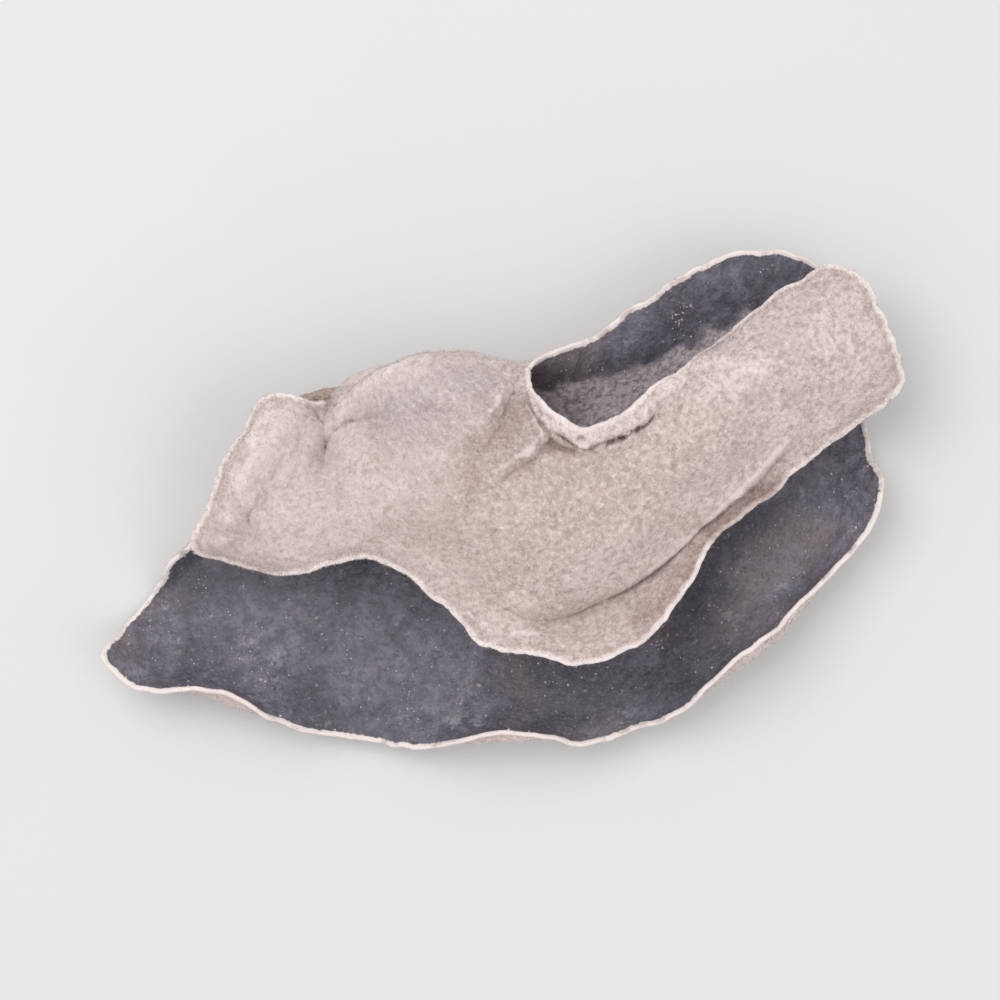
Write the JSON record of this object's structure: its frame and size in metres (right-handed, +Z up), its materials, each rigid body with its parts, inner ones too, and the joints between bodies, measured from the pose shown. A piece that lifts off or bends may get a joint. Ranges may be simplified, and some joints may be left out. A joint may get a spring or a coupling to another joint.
{
  "type": "dried wood ear mushroom",
  "caption": "Dried wood ear mushroom: a thin leathery lobed sheet folded over itself, pale and felted outside, black inside, lying as it rests.",
  "frame": {"origin": "middle of the underside of the bounding box, on the surface that the ear lies on", "axes": "+X along the ear's length, towards its square end; +Y towards the fold at the back; +Z up, away from the surface"},
  "size_m": [0.0739, 0.0465, 0.0162],
  "materials": {
    "dried_ear": "pale matt felt outside, satin black skin inside"
  },
  "bodies": {
    "root": {"wood_ear": "dried_ear"}
  },
  "joints": []
}
